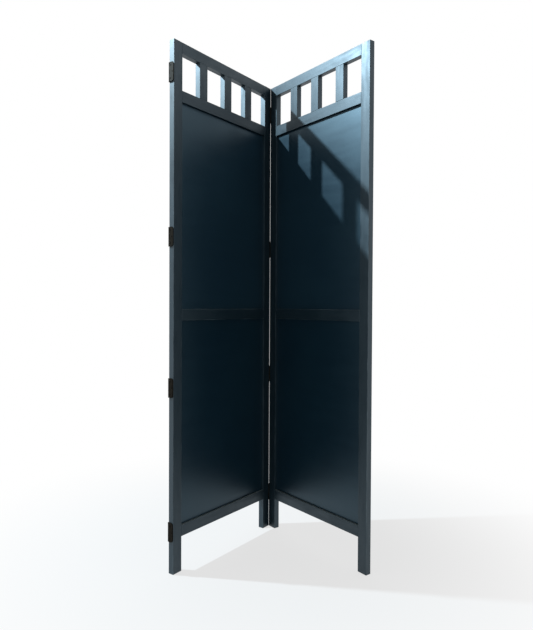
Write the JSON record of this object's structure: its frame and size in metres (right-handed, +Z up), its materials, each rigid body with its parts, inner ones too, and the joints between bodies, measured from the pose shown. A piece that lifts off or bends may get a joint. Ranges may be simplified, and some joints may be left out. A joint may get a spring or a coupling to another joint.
{
  "type": "folding screen",
  "caption": "Hinged folding screen of opaque boards in black stile-and-rail frames on legs, with a row of open windows under the top rail and spare hinges for another panel.",
  "frame": {"origin": "the middle of the box that the standing screen fills, on the floor, with the panels as far open as in the picture", "axes": "+Z up; the V opens towards -Y, so a viewer who looks along +Y looks into it, with +X on their right"},
  "size_m": [0.6704, 0.4358, 1.75],
  "materials": {
    "frame_lacquer": "satin black lacquer on softwood, with a faint grain",
    "board_lacquer": "semi-gloss black lacquer on thin board",
    "hinge_bronze": "dark bronzed steel, satin"
  },
  "bodies": {
    "left_panel": {"left_hinge_stile": "frame_lacquer", "left_outer_stile": "frame_lacquer", "left_top_rail": "frame_lacquer", "left_frieze_rail": "frame_lacquer", "left_mid_rail": "frame_lacquer", "left_bottom_rail": "frame_lacquer", "left_muntin_1": "frame_lacquer", "left_muntin_2": "frame_lacquer", "left_muntin_3": "frame_lacquer", "left_upper_board": "board_lacquer", "left_lower_board": "board_lacquer", "centre_hinge_1_left_leaf": "hinge_bronze", "centre_hinge_2_left_leaf": "hinge_bronze", "centre_hinge_3_left_leaf": "hinge_bronze", "centre_hinge_4_left_leaf": "hinge_bronze", "centre_hinge_1_pin": "hinge_bronze", "centre_hinge_2_pin": "hinge_bronze", "centre_hinge_3_pin": "hinge_bronze", "centre_hinge_4_pin": "hinge_bronze", "outer_hinge_1_fixed_leaf": "hinge_bronze", "outer_hinge_2_fixed_leaf": "hinge_bronze", "outer_hinge_3_fixed_leaf": "hinge_bronze", "outer_hinge_4_fixed_leaf": "hinge_bronze", "outer_hinge_1_pin": "hinge_bronze", "outer_hinge_2_pin": "hinge_bronze", "outer_hinge_3_pin": "hinge_bronze", "outer_hinge_4_pin": "hinge_bronze"},
    "right_panel": {"right_hinge_stile": "frame_lacquer", "right_outer_stile": "frame_lacquer", "right_top_rail": "frame_lacquer", "right_frieze_rail": "frame_lacquer", "right_mid_rail": "frame_lacquer", "right_bottom_rail": "frame_lacquer", "right_muntin_1": "frame_lacquer", "right_muntin_2": "frame_lacquer", "right_muntin_3": "frame_lacquer", "right_upper_board": "board_lacquer", "right_lower_board": "board_lacquer", "centre_hinge_1_right_leaf": "hinge_bronze", "centre_hinge_2_right_leaf": "hinge_bronze", "centre_hinge_3_right_leaf": "hinge_bronze", "centre_hinge_4_right_leaf": "hinge_bronze"},
    "spare_leaf_1": {"outer_hinge_1_free_leaf": "hinge_bronze"},
    "spare_leaf_2": {"outer_hinge_2_free_leaf": "hinge_bronze"},
    "spare_leaf_3": {"outer_hinge_3_free_leaf": "hinge_bronze"},
    "spare_leaf_4": {"outer_hinge_4_free_leaf": "hinge_bronze"}
  },
  "joints": [
    {"name": "panel_fold", "type": "hinge", "parent": "left_panel", "child": "right_panel", "pos_m": [0.00138, 0.20537, 0.875], "axis": [0, 0, 1], "range_deg": [-73.8, 106.2]},
    {"name": "spare_leaf_1_swing", "type": "hinge", "parent": "left_panel", "child": "spare_leaf_1", "pos_m": [-0.3327, -0.20393, 1.645], "axis": [0, 0, -1], "range_deg": [-0.5, 205]},
    {"name": "spare_leaf_2_swing", "type": "hinge", "parent": "left_panel", "child": "spare_leaf_2", "pos_m": [-0.3327, -0.20393, 1.11001], "axis": [0, 0, -1], "range_deg": [-0.5, 205]},
    {"name": "spare_leaf_3_swing", "type": "hinge", "parent": "left_panel", "child": "spare_leaf_3", "pos_m": [-0.3327, -0.20393, 0.61421], "axis": [0, 0, -1], "range_deg": [-0.5, 205]},
    {"name": "spare_leaf_4_swing", "type": "hinge", "parent": "left_panel", "child": "spare_leaf_4", "pos_m": [-0.3327, -0.20393, 0.138], "axis": [0, 0, -1], "range_deg": [-0.5, 205]}
  ]
}
